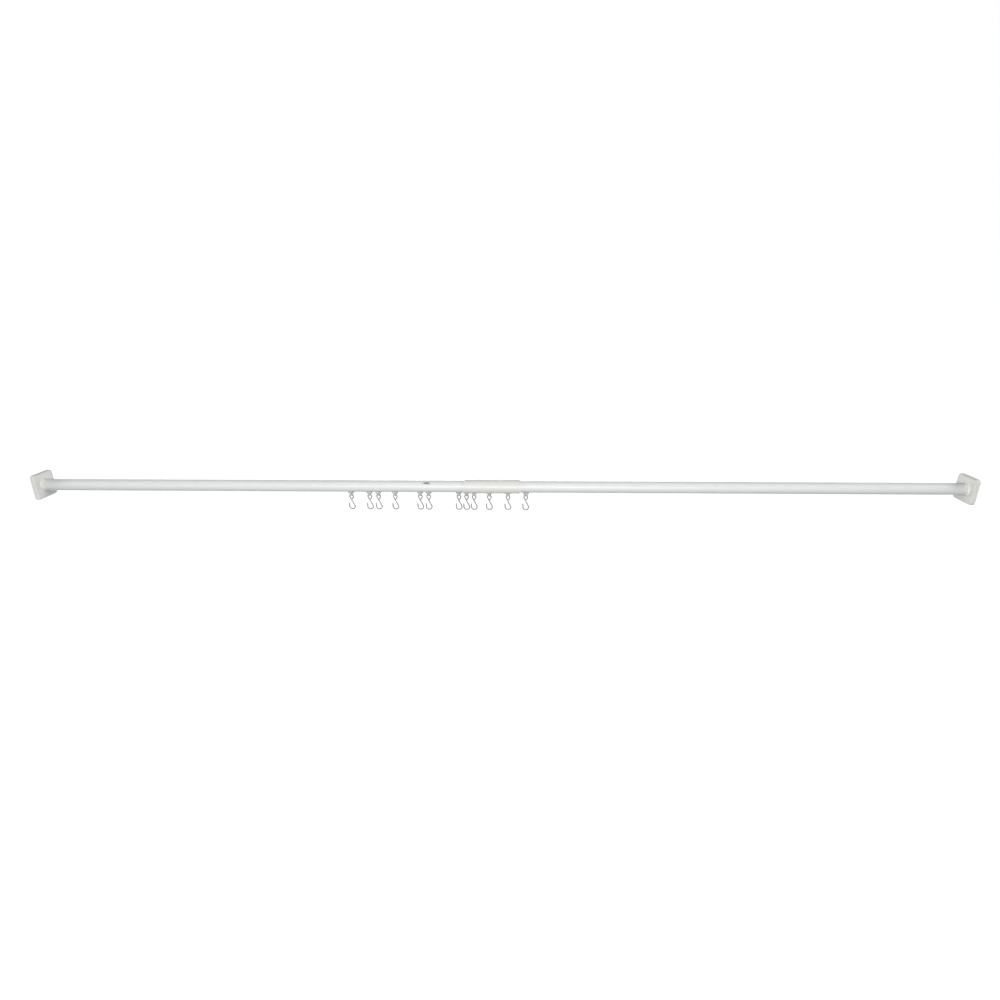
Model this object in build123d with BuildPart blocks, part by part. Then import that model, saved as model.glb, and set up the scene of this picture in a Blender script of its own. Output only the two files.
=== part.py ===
from build123d import *
from math import asin, degrees
import os

# Shower curtain rod, millimetres. The origin is where the rod's axis meets the left wall,
# +X runs along the rod to the right wall, +Y points away from the viewer and +Z is up.

# Tubes: extruded aluminium with a slot underneath and flat running ledges beside it.
tube_diameter = 25.0
tube_wall = 1.3
tube_length = 1000.0
slot_width = 7.0
ledge_rise = 3.1
slot_edge_round = 0.4

# Joining sleeve: a moulded C-shaped clip with a stop rib between the tube ends.
sleeve_wall = 2.4
sleeve_length = 120.0
sleeve_fit_gap = 0.1
sleeve_bell_gap = 0.7
sleeve_end_round = 0.9
sleeve_lip_round = 0.6
stop_rib_width = 2.0
stop_rib_height = 1.2
stop_rib_angle = 110.0

# Covers: square moulded shells that snap over the wall brackets.
cover_side = 55.0
cover_depth = 9.0
cover_corner = 6.0
cover_edge_round = 2.4
cover_wall = 2.0
cover_tube_gap = 0.3
collar_length = 3.5
collar_wall = 1.9
collar_root_round = 1.2

# Wall brackets: a screw plate with a keyed spigot that the tube is pushed onto.
plate_thickness = 3.0
plate_gap = 0.25
spigot_length = 24.0
spigot_wall = 2.2
spigot_gap = 0.15
spigot_lead = 1.0
key_gap = 0.25
screw_hole_diameter = 4.5
screw_head_diameter = 8.6
screw_spacing = 34.0

# Snap ridges inside each cover and the notches for them in the bracket's edges.
snap_length = 12.0
snap_width = 1.0
snap_reach = 0.5
snap_height = 1.6
snap_gap = 0.2

# Gliders: a runner head on the ledges, a neck in the slot, a bell and an eye below.
runner_length = 13.4
runner_width = 11.4
runner_height = 3.2
runner_corner = 2.6
runner_top_round = 0.9
run_gap = 0.3
neck_length = 9.0
neck_gap = 0.45
bell_diameter = 14.0
bell_reach = 4.8
bell_flat_diameter = 5.2
saddle_gap = 0.45
eye_reach = 1.9
eye_wire_gap = 0.5
eye_wall = 1.4
eye_width = 3.2
eye_mouth_round = 1.0
eye_rim_round = 0.35
saddle_rim_round = 0.4

# Hooks: steel wire bent to an S, with its upper end curled shut round the eye.
wire_diameter = 2.6
top_bend = 4.0
curl_bend = 8.8
curl_angle = 52.0
lower_bend = 6.2
bend_spacing = 23.7
leg_length = 4.3
tip_bend = 10.0
tip_angle = 20.0
wire_end_round = 1.0

# Each glider's place along the rod, from the rod's middle.
glider_offsets = (
    -309.8, -269.4, -249.8, -213.0, -157.7, -139.2,
    -72.8, -56.2, -39.6, -6.4, 34.2, 73.1,
)

# Two radii that differ by less than this are the same size.
same_size = 0.01

# Sizes that follow from the ones above.
tube_radius = tube_diameter / 2
bore_radius = tube_radius - tube_wall
ledge_drop = tube_radius - ledge_rise
left_end = plate_thickness
middle = left_end + tube_length + stop_rib_width / 2
sleeve_bore = tube_radius + sleeve_fit_gap
sleeve_radius = sleeve_bore + sleeve_wall
sleeve_slot_width = bell_diameter + 2 * sleeve_bell_gap
cover_hole = tube_radius + cover_tube_gap
cavity_side = cover_side - 2 * cover_wall
cavity_corner = cover_corner - cover_wall
plate_side = cavity_side - 2 * plate_gap
spigot_radius = bore_radius - spigot_gap
spigot_flat = ledge_drop - spigot_gap
key_width = slot_width - 2 * key_gap
runner_bottom = ledge_drop - run_gap
neck_width = slot_width - 2 * neck_gap
saddle_radius = tube_radius + saddle_gap
bell_bottom = tube_radius + bell_reach
bell_round = (bell_diameter - bell_flat_diameter) / 2
eye_drop = bell_bottom + eye_reach
wire_radius = wire_diameter / 2
eye_hole_radius = wire_radius + eye_wire_gap
eye_radius = eye_hole_radius + eye_wall
notch_length = snap_length + 2 * snap_gap
notch_width = snap_width + 2 * snap_gap
notch_depth = snap_reach + snap_gap
ridge_depth = plate_gap + snap_reach
key_drop = tube_radius - key_gap
ledge_angle = degrees(asin(ledge_drop / bore_radius))
flat_angle = degrees(asin(spigot_flat / spigot_radius))
lower_drop = top_bend + bend_spacing
stem_angle = degrees(asin((top_bend + lower_bend) / bend_spacing))
middle_plane = Plane.YZ.offset(middle)

os.makedirs("parts", exist_ok=True)


def beside_slot(width):
    """Chooses a section's corners on the two sides of a slot of this width."""
    return lambda v: abs(abs(v.X) - width / 2) < same_size


def round_edge(radius):
    """Chooses circular edges of this radius."""
    return lambda e: e.geom_type == GeomType.CIRCLE and abs(e.radius - radius) < same_size


# Left tube: the whole extrusion profile drawn once and carried along the rod.
with BuildPart() as left_tube:
    with BuildSketch(Plane.YZ.offset(left_end)):
        Circle(tube_radius)
        with BuildLine():
            bore = CenterArc((0, 0), bore_radius, -ledge_angle, 180 + 2 * ledge_angle)
            Line(bore @ 1, bore @ 0)
        make_face(mode=Mode.SUBTRACT)
        Rectangle(slot_width, tube_diameter, align=(Align.CENTER, Align.MAX), mode=Mode.SUBTRACT)
        fillet(vertices().filter_by(beside_slot(slot_width)), slot_edge_round)
    extrude(amount=tube_length)
left_tube.part.label = "left_tube"
export_step(left_tube.part, "parts/left_tube.step")

# Right tube: the same extrusion, on the other side of the middle.
with BuildPart() as right_tube:
    mirror(left_tube.part, about=middle_plane)
right_tube.part.label = "right_tube"
export_step(right_tube.part, "parts/right_tube.step")

# Joining sleeve: the gliders' bells pass through its wide slot.
with BuildPart() as joining_sleeve:
    with BuildSketch(middle_plane.offset(-sleeve_length / 2)):
        Circle(sleeve_radius)
        Circle(sleeve_bore, mode=Mode.SUBTRACT)
        lip_align = (Align.CENTER, Align.MAX)
        Rectangle(sleeve_slot_width, 2 * sleeve_radius, align=lip_align, mode=Mode.SUBTRACT)
        fillet(vertices().filter_by(beside_slot(sleeve_slot_width)), sleeve_lip_round)
    extrude(amount=sleeve_length)
    fillet(edges().filter_by(round_edge(sleeve_radius)), sleeve_end_round)
    with BuildSketch(middle_plane.offset(-stop_rib_width / 2)):
        with BuildLine():
            rib_start = 90 - stop_rib_angle / 2
            crest = CenterArc((0, 0), sleeve_bore - stop_rib_height, rib_start, stop_rib_angle)
            root = CenterArc((0, 0), sleeve_bore, rib_start, stop_rib_angle)
            Line(crest @ 0, root @ 0)
            Line(crest @ 1, root @ 1)
        make_face()
    extrude(amount=stop_rib_width)
joining_sleeve.part.label = "joining_sleeve"
export_step(joining_sleeve.part, "parts/joining_sleeve.step")

# Left wall bracket: the spigot follows the tube's bore, its flat lies over the ledges
# and its key fills the slot, so the slot always ends up underneath.
with BuildPart() as left_wall_bracket:
    with BuildSketch(Plane.YZ):
        RectangleRounded(plate_side, plate_side, cavity_corner - plate_gap)
    extrude(amount=plate_thickness)
    with BuildSketch(Plane.YZ.offset(plate_thickness)):
        with BuildLine():
            outside = CenterArc((0, 0), spigot_radius, -flat_angle, 180 + 2 * flat_angle)
            Line(outside @ 1, outside @ 0)
        make_face()
        offset(amount=-spigot_wall, kind=Kind.INTERSECTION, mode=Mode.SUBTRACT)
        with Locations((0, -spigot_flat + spigot_wall)):
            Rectangle(key_width, key_drop - spigot_flat + spigot_wall, align=(Align.CENTER, Align.MAX))
    extrude(amount=spigot_length)
    lead_edges = faces().sort_by(Axis.X)[-1].outer_wire().edges()
    chamfer(lead_edges, spigot_lead)
    with Locations(Plane.YZ.offset(plate_thickness)):
        with GridLocations(screw_spacing, screw_spacing, 2, 2):
            CounterSinkHole(screw_hole_diameter / 2, screw_head_diameter / 2, counter_sink_angle=90)
    with BuildSketch(Plane.YZ.offset(snap_height - notch_width / 2)):
        with PolarLocations((plate_side - notch_depth) / 2, 4):
            Rectangle(notch_depth, notch_length)
    extrude(amount=notch_width, mode=Mode.SUBTRACT)
left_wall_bracket.part.label = "left_wall_bracket"
export_step(left_wall_bracket.part, "parts/left_wall_bracket.step")

# Right wall bracket: a mirrored copy.
with BuildPart() as right_wall_bracket:
    mirror(left_wall_bracket.part, about=middle_plane)
right_wall_bracket.part.label = "right_wall_bracket"
export_step(right_wall_bracket.part, "parts/right_wall_bracket.step")

# Left cover: a shell open to the wall, with a collar round the tube and four snap ridges.
with BuildPart() as left_cover:
    with BuildSketch(Plane.YZ):
        RectangleRounded(cover_side, cover_side, cover_corner)
    extrude(amount=cover_depth)
    fillet(faces().sort_by(Axis.X)[-1].edges(), cover_edge_round)
    with BuildSketch(Plane.YZ):
        RectangleRounded(cavity_side, cavity_side, cavity_corner)
    extrude(amount=cover_depth - cover_wall, mode=Mode.SUBTRACT)
    with BuildSketch(Plane.YZ.offset(cover_depth)):
        Circle(cover_hole + collar_wall)
    extrude(amount=collar_length)
    collar_edges = edges().filter_by(lambda e: e.geom_type == GeomType.CIRCLE and e.radius > cover_hole)
    fillet(collar_edges.sort_by(Axis.X)[:1], collar_root_round)
    fillet(faces().sort_by(Axis.X)[-1].edges(), collar_wall / 2)
    with BuildSketch(Plane.YZ):
        Circle(cover_hole)
    extrude(amount=cover_depth + collar_length, mode=Mode.SUBTRACT)
    with BuildSketch(Plane.YZ.offset(snap_height - snap_width / 2)):
        with PolarLocations((cavity_side - ridge_depth) / 2, 4):
            Rectangle(ridge_depth, snap_length)
    extrude(amount=snap_width)
left_cover.part.label = "left_cover"
export_step(left_cover.part, "parts/left_cover.step")

# Right cover: a mirrored copy.
with BuildPart() as right_cover:
    mirror(left_cover.part, about=middle_plane)
right_cover.part.label = "right_cover"
export_step(right_cover.part, "parts/right_cover.step")

# Glider: one moulding, made at x = 0 and then placed along the rod.
with BuildPart() as glider:
    with BuildSketch(Plane.XY.offset(-bell_bottom)):
        Circle(bell_diameter / 2)
    extrude(amount=bell_bottom - ledge_drop)
    fillet(faces().sort_by(Axis.Z)[0].edges(), bell_round)
    with BuildSketch(Plane.YZ.offset(-bell_diameter / 2)):
        Circle(saddle_radius)
    extrude(amount=bell_diameter, mode=Mode.SUBTRACT)
    fillet(faces().sort_by(Axis.Z)[-1].edges(), saddle_rim_round)
    with BuildSketch(Plane.XY.offset(-saddle_radius)):
        SlotOverall(neck_length, neck_width)
    extrude(amount=saddle_radius - runner_bottom)
    with BuildSketch(Plane.XY.offset(-runner_bottom)):
        RectangleRounded(runner_length, runner_width, runner_corner)
    extrude(amount=runner_height)
    fillet(faces().sort_by(Axis.Z)[-1].edges(), runner_top_round)
    with BuildSketch(Plane.YZ.offset(-eye_width / 2)):
        with Locations((0, -eye_drop)):
            Circle(eye_radius)
            Rectangle(2 * eye_radius, eye_reach + eye_wall, align=(Align.CENTER, Align.MIN))
            Circle(eye_hole_radius, mode=Mode.SUBTRACT)
    extrude(amount=eye_width)
    fillet(edges().filter_by(round_edge(eye_hole_radius)), eye_mouth_round)
    eye_sides = faces().filter_by(Axis.X).filter_by(lambda f: f.center().Z < -bell_bottom)
    eye_rims = eye_sides.edges().filter_by(lambda e: e.center().Z < -eye_drop - eye_hole_radius)
    fillet(eye_rims, eye_rim_round)
glider.part.label = "glider"

# Hook: a wire carried along four bends and two straights, all tangent, in the plane of the S.
hook_plane = Plane(origin=(0, 0, -eye_drop), x_dir=(1, 0, 0), z_dir=(0, -1, 0))
with BuildPart() as hook:
    with BuildLine(hook_plane) as s_path:
        CenterArc((top_bend - curl_bend, -top_bend), curl_bend, -curl_angle, curl_angle)
        over = CenterArc((0, -top_bend), top_bend, 0, 180 + stem_angle)
        under = CenterArc((0, -lower_drop), lower_bend, stem_angle, -180 - stem_angle)
        Line(over @ 1, under @ 0)
        Line(under @ 1, (-lower_bend, leg_length - lower_drop))
        CenterArc((-lower_bend - tip_bend, leg_length - lower_drop), tip_bend, 0, tip_angle)
    with BuildSketch(Plane(origin=s_path.wire() @ 0, z_dir=s_path.wire() % 0)):
        Circle(wire_radius)
    sweep(path=s_path.wire())
    fillet(faces().filter_by(GeomType.PLANE).edges(), wire_end_round)
hook.part.label = "hook"

# A glider with its hook at each place.
for number, offset_from_middle in enumerate(glider_offsets, 1):
    place = middle + offset_from_middle
    with BuildPart() as placed_glider:
        with Locations((place, 0, 0)):
            add(glider.part)
    placed_glider.part.label = f"glider_{number:02d}"
    export_step(placed_glider.part, f"parts/glider_{number:02d}.step")
    with BuildPart() as placed_hook:
        with Locations((place, 0, 0)):
            add(hook.part)
    placed_hook.part.label = f"hook_{number:02d}"
    export_step(placed_hook.part, f"parts/hook_{number:02d}.step")
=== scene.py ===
# %% [markdown]
# # A shower curtain rod
# Two slotted tubes are joined by a sleeve at the middle. Gliders run in the slot under the
# tubes, and an S-hook hangs from each one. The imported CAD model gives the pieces' places and
# motion, so this lesson only adds what the eye needs: smooth surfaces, finishes, light and a
# camera.

import bpy
import numpy as np
from mathutils import Matrix, Vector


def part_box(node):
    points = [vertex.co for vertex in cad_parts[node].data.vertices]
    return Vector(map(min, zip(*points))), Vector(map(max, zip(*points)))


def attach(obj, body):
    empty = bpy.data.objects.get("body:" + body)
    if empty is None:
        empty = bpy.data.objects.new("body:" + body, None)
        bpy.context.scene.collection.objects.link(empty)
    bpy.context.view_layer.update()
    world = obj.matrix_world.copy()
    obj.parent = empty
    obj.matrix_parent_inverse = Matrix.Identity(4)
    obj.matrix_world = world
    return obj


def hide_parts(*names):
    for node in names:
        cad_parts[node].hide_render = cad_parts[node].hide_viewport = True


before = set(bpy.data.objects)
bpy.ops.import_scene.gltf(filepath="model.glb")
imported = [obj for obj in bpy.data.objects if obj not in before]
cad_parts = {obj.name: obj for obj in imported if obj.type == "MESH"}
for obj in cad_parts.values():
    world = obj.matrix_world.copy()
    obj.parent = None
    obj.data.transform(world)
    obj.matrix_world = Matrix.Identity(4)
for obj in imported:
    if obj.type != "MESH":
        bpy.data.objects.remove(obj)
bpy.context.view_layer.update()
mm = 0.001
rod_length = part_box("right_cover")[1].x
rod_middle = rod_length / 2
print("rod length in mm:", round(rod_length / mm, 1), "nodes:", len(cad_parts))

# %% [markdown]
# ## The camera
# The photograph looks down on the rod from a little to the right of its middle, with a wide
# lens. A camera can be turned with angles and constraints, but here its three axes are worked
# out as vectors, because then the slight roll of the picture is one more rotation of two axes.
# The lens is measured in pixels of the picture, and scaled to the width of Blender's film.

# %% Work out the camera's axes
view_elevation = np.radians(20.3)
view_turn = np.radians(2.22)
view_roll = np.radians(-0.45)


def camera_axes(elevation, turn, roll):
    """The camera's right, up and back directions as columns: back points from the aim to the
    camera, right is level, and right and up are then turned about back by the roll."""
    back = np.array([
        np.sin(turn) * np.cos(elevation),
        -np.cos(turn) * np.cos(elevation),
        np.sin(elevation),
    ])
    right = np.cross(-back, [0, 0, 1])
    right /= np.linalg.norm(right)
    up = np.cross(back, right)
    turned_right = right * np.cos(roll) + up * np.sin(roll)
    turned_up = up * np.cos(roll) - right * np.sin(roll)
    return np.column_stack([turned_right, turned_up, back])


axes = camera_axes(view_elevation, view_turn, view_roll)
print("camera looks along", (-axes[:, 2]).round(3))

# %% Place the camera
view_distance = 1.2875
aim_right = 16.9 * mm
aim_drop = 30.7 * mm
lens_pixels = 589.6
picture_pixels = 1000
film_width = 36
nearest_seen = 0.01


def in_scene(name, data):
    """A new object that holds the data, linked to the scene."""
    thing = bpy.data.objects.new(name, data)
    bpy.context.scene.collection.objects.link(thing)
    return thing


aim = np.array([rod_middle + aim_right, 0, -aim_drop])
camera = in_scene("camera", bpy.data.cameras.new("camera"))
bpy.context.scene.camera = camera
camera.data.sensor_width = film_width
camera.data.lens = film_width * lens_pixels / picture_pixels
camera.data.clip_start = nearest_seen
stand = Matrix.Translation(aim + axes[:, 2] * view_distance)
camera.matrix_world = stand @ Matrix(axes.tolist()).to_4x4()
print("camera stands at", [round(v, 3) for v in camera.location])

# %% [markdown]
# ## Surfaces from arrays
# A tube, a sleeve and a bent wire are all one closed outline carried along a line. Extrude and
# spin could make them one by one, but a single helper can turn any grid of points, rings by
# outline points, into a mesh: quads join each ring to the next, and a flat face closes each
# end. Smooth shading with sharp edges kept at a chosen angle gives round surfaces and crisp
# corners.

# %% Make a mesh from rings
sharp_angle = np.radians(35)


def ringed_mesh(name, rings):
    """A closed skin over an array of rings, (ring, point, xyz): quads join each point to its
    neighbours on its own ring and on the next one, and a flat face closes each end."""
    count, around = rings.shape[:2]
    ring, point = np.meshgrid(np.arange(count - 1), np.arange(around), indexing="ij")
    after = (point + 1) % around
    quads = np.stack([
        ring * around + point,
        ring * around + after,
        (ring + 1) * around + after,
        (ring + 1) * around + point,
    ], axis=-1).reshape(-1, 4)
    first_end = np.arange(around)[::-1]
    last_end = (count - 1) * around + np.arange(around)
    mesh = bpy.data.meshes.new(name)
    ends = [first_end.tolist(), last_end.tolist()]
    mesh.from_pydata(rings.reshape(-1, 3), [], quads.tolist() + ends)
    mesh.shade_smooth()
    mesh.set_sharp_from_angle(angle=sharp_angle)
    return in_scene(name, mesh)


print("edges stay sharp past", round(np.degrees(sharp_angle)), "degrees")

# %% [markdown]
# ## Outlines
# The sections of the tubes and the sleeve are arcs about the rod's axis with straights between
# them. A die or a mould never leaves a perfectly sharp corner. A bevel could round the corners
# of the finished mesh, but it is simpler on the flat outline: walk it again in even steps, and
# take a running mean over a short reach, which only changes it near its corners.

# %% Draw outlines
def polar(radius, start, end, count):
    """Points of an arc about the rod's axis, as y and z. Angles start at straight down and
    grow towards +y."""
    turn = np.linspace(start, end, count)
    return np.column_stack([radius * np.sin(turn), -radius * np.cos(turn)])


def run_along(line):
    """The length walked along a line up to each of its points."""
    return np.concatenate([[0], np.cumsum(np.linalg.norm(np.diff(line, axis=0), axis=1))])


def points_at(places, run, values):
    """The two columns of values, read at the given places along the run."""
    return np.column_stack([np.interp(places, run, column) for column in values.T])


def even_loop(points, count):
    """The same closed outline with its points spread evenly along its length."""
    closed = np.vstack([points, points[:1]])
    run = run_along(closed)
    return points_at(np.linspace(0, run[-1], count, endpoint=False), run, closed)


def softened(loop, reach):
    """The outline with its corners rounded: each point is the mean of its neighbours within
    the reach on both sides."""
    step = np.linalg.norm(loop[1] - loop[0])
    near = int(round(reach / step))
    return np.mean([np.roll(loop, k, axis=0) for k in range(-near, near + 1)], axis=0)


print("outline steps: polar, run_along, points_at, even_loop, softened")

# %% [markdown]
# ## Carrying an outline along the rod
# An extruded or moulded length has eased ends. The mesh could get a bevel modifier, but a
# quarter circle worked into the last few rings is exact: on each ring the outside is drawn in
# towards the rod's axis by what is left of the quarter circle there, and the bore stays.

# %% Carry an outline along the rod
ease_steps = 6


def carried(loop, bore, start, end, ease, spans):
    """Rings of the outline from start to end along x. Over the ease at each end, the outside
    is drawn in by ease (1 - sin t) at ease (1 - cos t) from the end, for t up to 90 degrees.
    Points between the bore's radius and the outside move by their share of the wall."""
    t = np.linspace(0, np.pi / 2, ease_steps)
    near = ease * (1 - np.cos(t))
    drawn = ease * (1 - np.sin(t))
    inner = np.linspace(start + ease, end - ease, spans + 1)[1:-1]
    x = np.concatenate([start + near, inner, (end - near)[::-1]])
    inset = np.concatenate([drawn, np.zeros(len(inner)), drawn[::-1]])
    radius = np.linalg.norm(loop, axis=1)
    share = np.clip((radius - bore) / (radius.max() - bore), 0, 1)
    flat = loop[None] * (1 - inset[:, None] * (share / radius)[None])[..., None]
    return np.concatenate([np.broadcast_to(x[:, None, None], (*flat.shape[:2], 1)), flat], axis=2)


print("an eased end has", ease_steps, "rings")

# %% [markdown]
# ## The tubes
# Each tube is an aluminium extrusion: round outside, with a slot along its underside and a
# flat ledge on each side of the slot inside, where the gliders run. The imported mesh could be
# shown as it is, but its round has few flats, which a long highlight gives away. So the same
# outline, two arcs and a few straights, is carried along the rod here with many more points.

# %% Draw the tubes' section
tube_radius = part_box("left_tube")[1].z
bore_radius = 11.2 * mm
slot_half = 3.5 * mm
ledge_drop = 9.4 * mm
slot_edge_round = 0.25 * mm
outside_points = 300
bore_points = 260
outline_points = 480


def tube_outline():
    """The outside arc, up one side of the slot, out along a ledge, back round the bore, in
    along the other ledge and down the other side of the slot."""
    lip = np.arcsin(slot_half / tube_radius)
    ledge = np.arccos(ledge_drop / bore_radius)
    outside = polar(tube_radius, lip, 2 * np.pi - lip, outside_points)
    bore = polar(bore_radius, 2 * np.pi - ledge, ledge, bore_points)
    slot_tops = np.array([[-slot_half, -ledge_drop], [slot_half, -ledge_drop]])
    return np.vstack([outside, slot_tops[:1], bore, slot_tops[1:]])


tube_loop = softened(even_loop(tube_outline(), outline_points), slot_edge_round)
print("tube section:", len(tube_loop), "points, radius in mm:", round(tube_radius / mm, 2))

# %% Make the tubes
tube_ease = 0.25 * mm
tube_spans = 40
tubes = []
for node in ("left_tube", "right_tube"):
    low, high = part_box(node)
    rings = carried(tube_loop, bore_radius, low.x, high.x, tube_ease, tube_spans)
    tube = ringed_mesh(node + "_skin", rings)
    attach(tube, "rod")
    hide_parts(node)
    tubes.append(tube)
    print(tube.name, "faces:", len(tube.data.polygons), "length:", round(high.x - low.x, 4))

# %% [markdown]
# ## The joining sleeve
# A moulded clip wraps the two tube ends and leaves a wide gap underneath for the gliders. An
# open arc with a Solidify modifier would give its wall, but not its upright lips. So its
# section is drawn as a closed C, and the lips are rounded like the tube's corners.

# %% Draw the sleeve's section
sleeve_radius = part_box("joining_sleeve")[1].z
sleeve_bore = 12.6 * mm
sleeve_gap_half = 7.7 * mm
sleeve_lip_round = 0.5 * mm


def sleeve_outline():
    """The outside arc over the top, and the bore's arc back, joined by the two upright lips."""
    outer_lip = np.arcsin(sleeve_gap_half / sleeve_radius)
    inner_lip = np.arcsin(sleeve_gap_half / sleeve_bore)
    outside = polar(sleeve_radius, outer_lip, 2 * np.pi - outer_lip, outside_points)
    bore = polar(sleeve_bore, 2 * np.pi - inner_lip, inner_lip, bore_points)
    return np.vstack([outside, bore])


sleeve_loop = softened(even_loop(sleeve_outline(), outline_points), sleeve_lip_round)
print("sleeve section:", len(sleeve_loop), "points")

# %% [markdown]
# ## The sleeve's stop rib
# Inside the sleeve, a low rib over the top keeps the tube ends apart. It could be a ring of its
# own, but then two skins would cross. Here it is the same skin, pushed inwards where the bore
# lies between the tube ends. Two rings close together on each side of it make its sides steep.

# %% Work the rib into the skin
rib_half_width = 0.95 * mm
rib_height = 1.2 * mm
rib_half_angle = np.radians(55)
rounding_room = 0.001 * mm


def with_stops(rings, stops):
    """The rings with further copies at the given places along x, for a sharp step there."""
    extra = np.repeat(rings[len(rings) // 2][None], len(stops), axis=0)
    extra[..., 0] = np.array(stops)[:, None]
    joined = np.concatenate([rings, extra])
    return joined[np.argsort(joined[:, 0, 0], kind="stable")]


def with_rib(rings):
    """The sleeve's rings with the bore drawn in over the rib: each bore point within the rib's
    angle of the top, on a ring within the rib's width of the middle, moves towards the axis."""
    radius = np.hypot(rings[..., 1], rings[..., 2])
    angle = np.abs(np.arctan2(rings[..., 1], rings[..., 2]))
    on_rib = (radius < (sleeve_radius + sleeve_bore) / 2) & (angle < rib_half_angle)
    on_rib &= np.abs(rings[..., 0] - rod_middle) <= rib_half_width + rounding_room
    scale = np.where(on_rib, (sleeve_bore - rib_height) / radius, 1.0)
    return rings * np.stack([np.ones_like(scale), scale, scale], axis=-1)


print("rib in mm, wide and high:", round(2 * rib_half_width / mm, 2), round(rib_height / mm, 2))

# %% Make the joining sleeve
sleeve_ease = 0.8 * mm
sleeve_spans = 60
rib_side = 0.02 * mm
low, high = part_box("joining_sleeve")
sleeve_rings = carried(sleeve_loop, sleeve_bore, low.x, high.x, sleeve_ease, sleeve_spans)
rib_edges = (rib_half_width, rib_half_width + rib_side)
rib_stops = [rod_middle + side * edge for side in (-1, 1) for edge in rib_edges]
sleeve = ringed_mesh("joining_sleeve_skin", with_rib(with_stops(sleeve_rings, rib_stops)))
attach(sleeve, "rod")
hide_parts("joining_sleeve")
print(sleeve.name, "faces:", len(sleeve.data.polygons))

# %% [markdown]
# ## The hook's line
# Each hook is a steel wire bent to an S. Its upper end curls shut round the glider's eye, and
# its lower end is open and turned out a little, to take a curtain's eyelet. A Bezier curve could
# be pulled to this shape by eye, but a wire is bent round pins, so its line is made of circular
# bends and the straights that touch them.

# %% Draw the hook's line
top_bend = 4.0 * mm
curl_bend = 8.8 * mm
curl_angle = np.radians(52)
lower_bend = 6.2 * mm
bend_spacing = 23.7 * mm
leg_length = 4.3 * mm
tip_bend = 10.0 * mm
tip_angle = np.radians(20)
bend_points = 80


def bend(centre, radius, start, sweep):
    """Points of a circular bend in x and z, from the start angle through the sweep."""
    turn = start + np.linspace(0, sweep, bend_points)
    return np.column_stack([centre[0] + radius * np.cos(turn), centre[1] + radius * np.sin(turn)])


def hook_line():
    """The wire's line in x and z, with its top at the origin: the curl, the bend through the
    eye, a straight stem that touches both bends, the lower bend, a short straight leg and the
    tip that turns out."""
    stem_angle = np.arcsin((top_bend + lower_bend) / bend_spacing)
    low = -top_bend - bend_spacing
    curl = bend((top_bend - curl_bend, -top_bend), curl_bend, -curl_angle, curl_angle)
    over = bend((0, -top_bend), top_bend, 0, np.pi + stem_angle)
    under = bend((0, low), lower_bend, stem_angle, -np.pi - stem_angle)
    tip = bend((-lower_bend - tip_bend, low + leg_length), tip_bend, 0, tip_angle)
    return np.vstack([curl, over[1:], under, tip])


wire_line = hook_line()
print("wire length in mm:", round(run_along(wire_line)[-1] / mm, 1))

# %% [markdown]
# ## The wire round its line
# A curve object with a round bevel would give the wire, but with flat cut ends. A circle carried
# along the line by arrays can also shrink along a quarter circle at both ends, as the tumbled
# ends of real wire do. The bend lies in one plane, so each circle needs only the line's own
# direction and the direction across that plane.

# %% Space the rings along the wire
wire_end_round = 1.0 * mm
wire_rings = 220


def wire_stations(line):
    """The line's own running length, and the lengths where rings stand: spaced as a quarter
    circle over each rounded end and evenly between."""
    run = run_along(line)
    t = np.linspace(0, np.pi / 2, ease_steps)
    ends = wire_end_round * (1 - np.cos(t))
    inner = np.linspace(ends[-1], run[-1] - ends[-1], wire_rings)[1:-1]
    return run, np.concatenate([ends, inner, run[-1] - ends[::-1]])


print("rings on a wire:", len(wire_stations(wire_line)[1]))

# %% Carry the wire along its line
wire_radius = 1.3 * mm
eye_drop = 19.2 * mm
wire_sides = 28
wire_angle = np.linspace(0, 2 * np.pi, wire_sides, endpoint=False)


def wire_skin(line, place):
    """A circle carried along the line. At a distance d from an end, within the end's round e,
    the wire's radius is r - e + sqrt(e^2 - (e - d)^2)."""
    run, along = wire_stations(line)
    centre = points_at(along, run, line)
    travel = points_at(along, run, np.gradient(line, run, axis=0))
    travel /= np.linalg.norm(travel, axis=1, keepdims=True)
    short = np.clip(wire_end_round - np.minimum(along, run[-1] - along), 0, wire_end_round)
    radius = wire_radius - wire_end_round + np.sqrt(wire_end_round ** 2 - short ** 2)
    across = radius[:, None] * np.cos(wire_angle)
    deep = radius[:, None] * np.sin(wire_angle)
    return np.stack([
        place + centre[:, :1] - travel[:, 1:] * across,
        deep,
        centre[:, 1:] - eye_drop + travel[:, :1] * across,
    ], axis=-1)


print("points round a wire of", round(wire_radius / mm, 2), "mm radius:", wire_sides)

# %% [markdown]
# ## The hooks
# The marks of the drawing die run along the wire and follow its bends. A UV map could carry
# them, but it has a seam. So each point keeps its place on the straight wire, before bending,
# as an attribute of the mesh, which the wire's finish reads later.

# %% Make the hooks
def straightened(line):
    """The same points on the wire before it was bent: the length along it, and the place round
    it as on a straight round bar."""
    along = wire_stations(line)[1]
    bar = np.empty((len(along), wire_sides, 3))
    bar[..., 0] = along[:, None]
    bar[..., 1] = wire_radius * np.cos(wire_angle)
    bar[..., 2] = wire_radius * np.sin(wire_angle)
    return bar


straight_points = straightened(wire_line).astype(np.float32).ravel()
hooks = []
for node in sorted(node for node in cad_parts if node.startswith("hook_")):
    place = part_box(node)[1].x - lower_bend - wire_radius
    hook = ringed_mesh(node + "_wire", wire_skin(wire_line, place))
    straight = hook.data.attributes.new("straight_wire", "FLOAT_VECTOR", "POINT")
    straight.data.foreach_set("vector", straight_points)
    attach(hook, node)
    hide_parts(node)
    hooks.append(hook)
print("hooks:", len(hooks), "faces each:", len(hooks[0].data.polygons))

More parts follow.
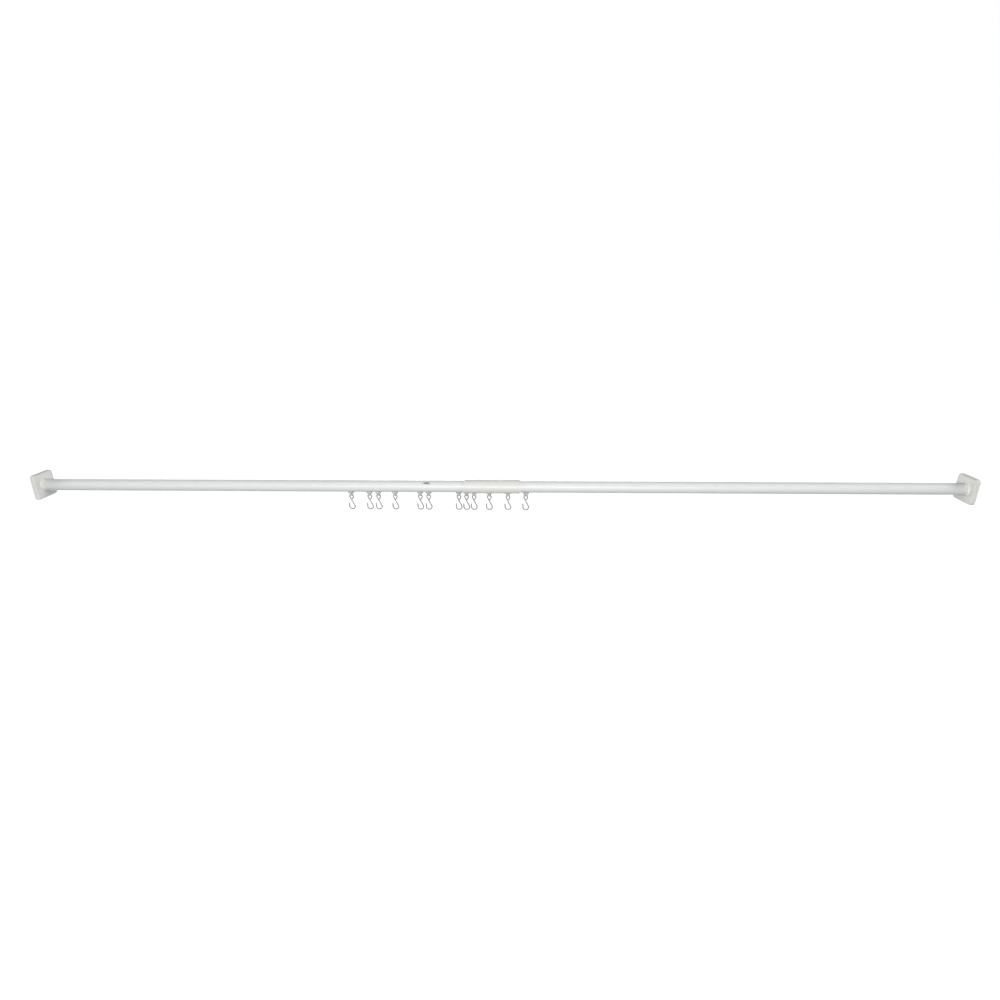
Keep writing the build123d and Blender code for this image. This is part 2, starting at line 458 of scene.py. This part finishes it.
# %% [markdown]
# ## Small steps for finishes
# A finish is built from a few repeated steps: cloudy values on coordinates that stay with the
# piece, values stretched over a range, a blend of two colours, and fine relief. The nodes could
# be wired by hand in the shader editor. As a short function for each step, they stay readable
# and can be used again for the next finish.

# %% Start a finish
def bare_finish(name):
    """A new material, with its node tree and its Principled shader."""
    material = bpy.data.materials.new(name)
    material.use_nodes = True
    return material, material.node_tree, material.node_tree.nodes["Principled BSDF"]


def own_place(tree):
    """Object coordinates, which stay with the piece when it moves."""
    return tree.nodes.new("ShaderNodeTexCoord").outputs["Object"]


print("first steps: bare_finish, own_place")

# %% Make cloudy values
def clouds(tree, place, detail, scale=1):
    """Cloudy values from 0 to 1 on the given coordinates, with the scale in cells per unit."""
    noise = tree.nodes.new("ShaderNodeTexNoise")
    noise.inputs["Scale"].default_value = scale
    noise.inputs["Detail"].default_value = detail
    tree.links.new(place, noise.inputs["Vector"])
    return noise.outputs["Fac"]


def stretched(tree, value, start, end, low=0, high=1):
    """The value moved in a straight line so that start becomes low and end becomes high."""
    stretch = tree.nodes.new("ShaderNodeMapRange")
    for socket, number in zip(("From Min", "From Max", "To Min", "To Max"), (start, end, low, high)):
        stretch.inputs[socket].default_value = number
    tree.links.new(value, stretch.inputs["Value"])
    return stretch.outputs["Result"]


print("steps for values: clouds, stretched")

# %% Blend colours and raise relief
# The Mix node has sockets for every kind of value, so those for colours are found by number.
blend_share, blend_first, blend_second, blend_result = 0, 6, 7, 2


def blended(tree, share, first, second):
    """A colour that goes from the first to the second as the share goes from 0 to 1. The first
    may be a colour that another node makes."""
    blend = tree.nodes.new("ShaderNodeMix")
    blend.data_type = "RGBA"
    tree.links.new(share, blend.inputs[blend_share])
    if isinstance(first, tuple):
        blend.inputs[blend_first].default_value = (*first, 1)
    else:
        tree.links.new(first, blend.inputs[blend_first])
    blend.inputs[blend_second].default_value = (*second, 1)
    return blend.outputs[blend_result]


def relief(tree, height, strength, depth):
    """A normal that follows the height, from 0 to 1, as relief of the given depth in metres."""
    bump = tree.nodes.new("ShaderNodeBump")
    bump.inputs["Strength"].default_value = strength
    bump.inputs["Distance"].default_value = depth
    tree.links.new(height, bump.inputs["Height"])
    return bump.outputs["Normal"]


print("steps for surfaces: blended, relief")

# %% [markdown]
# ## Paint and plastic
# Powder coat has a fine orange-peel skin, and moulded plastic takes the grain of its mould. Both
# are white with a faint unevenness in colour and gloss. A Principled shader with one fixed
# colour would look like a sample card, so colour and roughness wander with soft clouds, and
# the relief is a finer cloud, all on Object coordinates, which ride with the piece.

# %% Write the white finish
colour_wander = 0.975
gloss_wander = 0.1
soft_cloud = 45
cloud_low, cloud_high = 0.3, 0.7
fine_cloud_detail = 4
relief_strength = 0.6


def skin_finish(name, colour, roughness, grain, depth):
    """A Principled material: its colour goes down to a slightly darker one and its roughness
    up and down with soft clouds, and relief of the given grain, in cells per metre, covers it
    to the given depth."""
    material, tree, shader = bare_finish(name)
    place = own_place(tree)
    uneven = clouds(tree, place, fine_cloud_detail, soft_cloud)
    darker = tuple(colour_wander * c for c in colour)
    tree.links.new(blended(tree, uneven, darker, colour), shader.inputs["Base Color"])
    dull, bright = roughness * (1 + gloss_wander), roughness * (1 - gloss_wander)
    gloss = stretched(tree, uneven, cloud_low, cloud_high, dull, bright)
    tree.links.new(gloss, shader.inputs["Roughness"])
    skin = clouds(tree, place, fine_cloud_detail, grain)
    tree.links.new(relief(tree, skin, relief_strength, depth), shader.inputs["Normal"])
    return material


print("a white wanders down to", colour_wander, "of itself, and its roughness by", gloss_wander)

# %% Make the white finishes
cool_white = (0.89, 0.91, 0.91)
warm_white = (0.86, 0.86, 0.82)
plain_white = (0.82, 0.82, 0.80)
# The gliders' grey is partly the nylon's own light grey and partly painted shade: the colour is
# darkened for the shadow the tube casts on them.
nylon_grey_and_painted_shade = (0.66, 0.66, 0.69)
tube_white = skin_finish(
    "white_powder_coat", cool_white, roughness=0.36, grain=600, depth=0.018 * mm)
sleeve_white = skin_finish(
    "warm_white_sleeve", warm_white, roughness=0.36, grain=1500, depth=0.017 * mm)
cover_white = skin_finish(
    "warm_white_cover", warm_white, roughness=0.45, grain=1500, depth=0.05 * mm)
bracket_white = skin_finish(
    "bracket_white", plain_white, roughness=0.5, grain=1500, depth=0.03 * mm)
# The gliders' finish carries painted shade from the tube above them, on top of the nylon's light
# grey.
glider_nylon_and_painted_shade = skin_finish(
    "grey_nylon_and_painted_shade", nylon_grey_and_painted_shade, roughness=0.40, grain=1100, depth=0.017 * mm)
white_finishes = (tube_white, sleeve_white, cover_white, bracket_white, glider_nylon_and_painted_shade)
print("white finishes:", [finish.name for finish in white_finishes])

# %% [markdown]
# ## The scuff
# The left tube carries one small dark scuff on its upper side, short of the sleeve. It could be
# a decal on its own mesh, but it is part of the paint, so the paint's colour turns to grey
# where a streaky cloud is high enough. The cloud sinks with the distance from the scuff's
# middle, so the flecks are dense there and thin out with no clear border.

# %% Move and scale a pattern
def moved(tree, place, scale, shift=(0, 0, 0)):
    """Coordinates multiplied by the scale and then shifted, axis by axis."""
    mapping = tree.nodes.new("ShaderNodeMapping")
    mapping.inputs["Location"].default_value = shift
    mapping.inputs["Scale"].default_value = scale
    tree.links.new(place, mapping.inputs["Vector"])
    return mapping.outputs["Vector"]


print("step for patterns: moved")

# %% Add the scuff to the tubes' paint
scuff_middle = np.array([863.2, -7.7, 9.8]) * mm
scuff_reach = np.array([12, 4.3, 4.3]) * mm
scuff_grey = (0.19, 0.19, 0.19)
fleck_scale = (300, 560, 560)
fleck_thinning = 0.3
fleck_start, fleck_full = 0.26, 0.40


def add_scuff(material):
    """The share of grey is a cloud less the thinning times d, where d is the distance from the
    middle in units of the reach along each axis, stretched until only high values are left."""
    tree = material.node_tree
    colour = tree.nodes["Principled BSDF"].inputs["Base Color"]
    place = own_place(tree)
    distance = tree.nodes.new("ShaderNodeVectorMath")
    distance.operation = "LENGTH"
    from_middle = moved(tree, place, 1 / scuff_reach, -scuff_middle / scuff_reach)
    tree.links.new(from_middle, distance.inputs[0])
    sunk = tree.nodes.new("ShaderNodeMath")
    sunk.operation = "MULTIPLY_ADD"
    sunk.inputs[1].default_value = -fleck_thinning
    tree.links.new(distance.outputs["Value"], sunk.inputs[0])
    flecks = clouds(tree, moved(tree, place, fleck_scale), fine_cloud_detail)
    tree.links.new(flecks, sunk.inputs[2])
    share = stretched(tree, sunk.outputs["Value"], fleck_start, fleck_full)
    paint = colour.links[0].from_socket
    tree.links.new(blended(tree, share, paint, scuff_grey), colour)


add_scuff(tube_white)
print("scuff at", scuff_middle.round(4), "reaching", scuff_reach.round(4))

# %% [markdown]
# ## Zinc-plated wire
# The hooks' wire was drawn through a die, which leaves fine lines along it, and then plated, so
# its grey is a little bluer in some places than in others. An anisotropic shader could stand in
# for the lines from afar, but they have to follow the bends. So they are clouds on the straight
# wire's coordinates, squeezed round the wire and drawn out along it. The two greys follow soft
# clouds on Object coordinates.

# %% Make the wire's finish
blue_zinc = (0.22, 0.23, 0.27)
warm_zinc = (0.28, 0.27, 0.27)
zinc_patches = 180
patch_low, patch_high = 0.35, 0.65
coarse_cloud_detail = 2
die_lines = (70, 2600, 2600)
line_depth = 0.006 * mm
wire_bright, wire_dull = 0.40, 0.54


def wire_finish(name):
    """A metal whose colour goes between two greys with soft clouds, and whose roughness and
    relief follow the die's lines."""
    material, tree, shader = bare_finish(name)
    shader.inputs["Metallic"].default_value = 1
    cloud = clouds(tree, own_place(tree), coarse_cloud_detail, zinc_patches)
    patches = stretched(tree, cloud, patch_low, patch_high)
    tree.links.new(blended(tree, patches, blue_zinc, warm_zinc), shader.inputs["Base Color"])
    straight = tree.nodes.new("ShaderNodeAttribute")
    straight.attribute_name = "straight_wire"
    lines = clouds(tree, moved(tree, straight.outputs["Vector"], die_lines), coarse_cloud_detail)
    gloss = stretched(tree, lines, cloud_low, cloud_high, wire_bright, wire_dull)
    tree.links.new(gloss, shader.inputs["Roughness"])
    tree.links.new(relief(tree, lines, relief_strength, line_depth), shader.inputs["Normal"])
    return material


hook_zinc = wire_finish("bright_zinc_wire")
print("wire finish:", hook_zinc.name)

# %% [markdown]
# ## Give each piece its finish
# New pieces get a material on their mesh. The covers, brackets and gliders are the packed
# CAD nodes. They could be drawn again too, but their shape is already right, so only their
# material slots change.

# %% Give each piece its finish
for tube in tubes:
    tube.data.materials.append(tube_white)
sleeve.data.materials.append(sleeve_white)
for hook in hooks:
    hook.data.materials.append(hook_zinc)
cad_finishes = {"_cover": cover_white, "_wall_bracket": bracket_white, "glider_": glider_nylon_and_painted_shade}
for node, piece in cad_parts.items():
    for words, material in cad_finishes.items():
        if words in node:
            piece.material_slots[0].material = material

# %% [markdown]
# ## Floor and white ground
# The photograph has a plain white ground. A white floor alone would look grey wherever little
# light falls on it, and more light would bleach the rod. So the floor adds its own white only
# to what the camera sees, directly or in a shiny or clear surface. It lies well below the rod.

# %% Find what the eye sees
rays_of_the_eye = ("Is Camera Ray", "Is Glossy Ray", "Is Transmission Ray")


def white_to_the_eye(tree):
    """One where the ray comes from the camera, a shiny surface or clear stuff, and zero for
    the even light on a dull surface: the largest of the Light Path node's values for them."""
    path = tree.nodes.new("ShaderNodeLightPath")
    seen = path.outputs[rays_of_the_eye[0]]
    for ray in rays_of_the_eye[1:]:
        either = tree.nodes.new("ShaderNodeMath")
        either.operation = "MAXIMUM"
        tree.links.new(seen, either.inputs[0])
        tree.links.new(path.outputs[ray], either.inputs[1])
        seen = either.outputs["Value"]
    return seen


print("white to the eye:", rays_of_the_eye)

# %% Make the floor's paper
paper_grey = 0.16
paper_roughness = 0.9
white = (1, 1, 1, 1)
floor_paper, paper_tree, paper = bare_finish("floor_paper")
paper.inputs["Base Color"].default_value = (paper_grey, paper_grey, paper_grey, 1)
paper.inputs["Roughness"].default_value = paper_roughness
paper.inputs["Emission Color"].default_value = white
paper_tree.links.new(white_to_the_eye(paper_tree), paper.inputs["Emission Strength"])
print("floor finish:", floor_paper.name)

# %% Lay the floor
floor_drop = 0.9
floor_half = 30.0
corners = np.array([[-1, -1, 0], [1, -1, 0], [1, 1, 0], [-1, 1, 0]]) * floor_half
corners += [rod_middle, 0, -floor_drop]
floor_mesh = bpy.data.meshes.new("floor")
floor_mesh.from_pydata(corners.tolist(), [], [(0, 1, 2, 3)])
floor_mesh.materials.append(floor_paper)
floor = in_scene("floor", floor_mesh)
print("floor at", -floor_drop)

# %% [markdown]
# ## The world
# The world behind the floor is white to the camera in the same way. To the rod it is only a
# dim, even light, because a white world on all sides would flatten the round of the tubes.

# %% Set the world
ambient = 0.11
white_strength = 1.0
world = bpy.data.worlds.new("studio")
bpy.context.scene.world = world
world.use_nodes = True
sky = world.node_tree
background = sky.nodes["Background"]
background.inputs["Color"].default_value = white
level = stretched(sky, white_to_the_eye(sky), 0, 1, ambient, white_strength)
sky.links.new(level, background.inputs["Strength"])
print("ambient", ambient)

# %% [markdown]
# ## Lamps
# Along a round tube the light has to be soft, or the highlight becomes a hard line, as a sun or
# point lamp would make it. A low, wide lamp behind the camera gives the bright band along the
# front, and its narrowed beam lets the light fall off towards the ends, as in the photograph.
# A large lamp far out on each side lights the end plates' faces, which look along the rod. The
# right one stands higher. A weaker lamp behind the rod, a little below it, keeps its back from
# going dark and hardly shows from the front. The Standard view transform then shows a colour
# about as it is written.

# %% Write a soft lamp
full_beam = np.pi


def soft_lamp(name, place, size, watts, beam=full_beam):
    """A rectangular area lamp at a place, facing the rod's middle, with its beam in radians."""
    lamp = bpy.data.lights.new(name, "AREA")
    lamp.shape = "RECTANGLE"
    lamp.size, lamp.size_y = size
    lamp.energy = watts
    lamp.spread = beam
    holder = in_scene(name, lamp)
    holder.location = place
    to_rod = Vector((rod_middle, 0, 0)) - Vector(place)
    holder.rotation_euler = to_rod.to_track_quat("-Z", "Y").to_euler()


print("a full beam in degrees:", round(np.degrees(full_beam)))

# %% Hang the front lamp
front_size = (2.1, 0.5)
front_distance, front_height = 2.8, 0.62
front_beam = 1.5
front_watts = 12.7
front_place = (rod_middle, -front_distance, front_height)
soft_lamp("front_lamp", front_place, front_size, front_watts, front_beam)
print("front lamp at", np.round(front_place, 2))

# %% Hang the side lamps
side_size = (4.0, 2.4)
side_reach = 6.2
side_distance = 1.2
left_height, right_height = 1.0, 2.2
left_watts, right_watts = 215, 225
left_place = (rod_middle - side_reach, -side_distance, left_height)
right_place = (rod_middle + side_reach, -side_distance, right_height)
soft_lamp("left_lamp", left_place, side_size, left_watts)
soft_lamp("right_lamp", right_place, side_size, right_watts)
print("side lamps at", np.round(left_place, 2), np.round(right_place, 2))

# %% Hang the back lamp and show colours as written
back_distance, back_drop = 2.8, 0.45
back_beam = 1.15
back_watts = 6.0
back_place = (rod_middle, back_distance, -back_drop)
soft_lamp("back_lamp", back_place, front_size, back_watts, back_beam)
bpy.context.scene.view_settings.view_transform = "Standard"
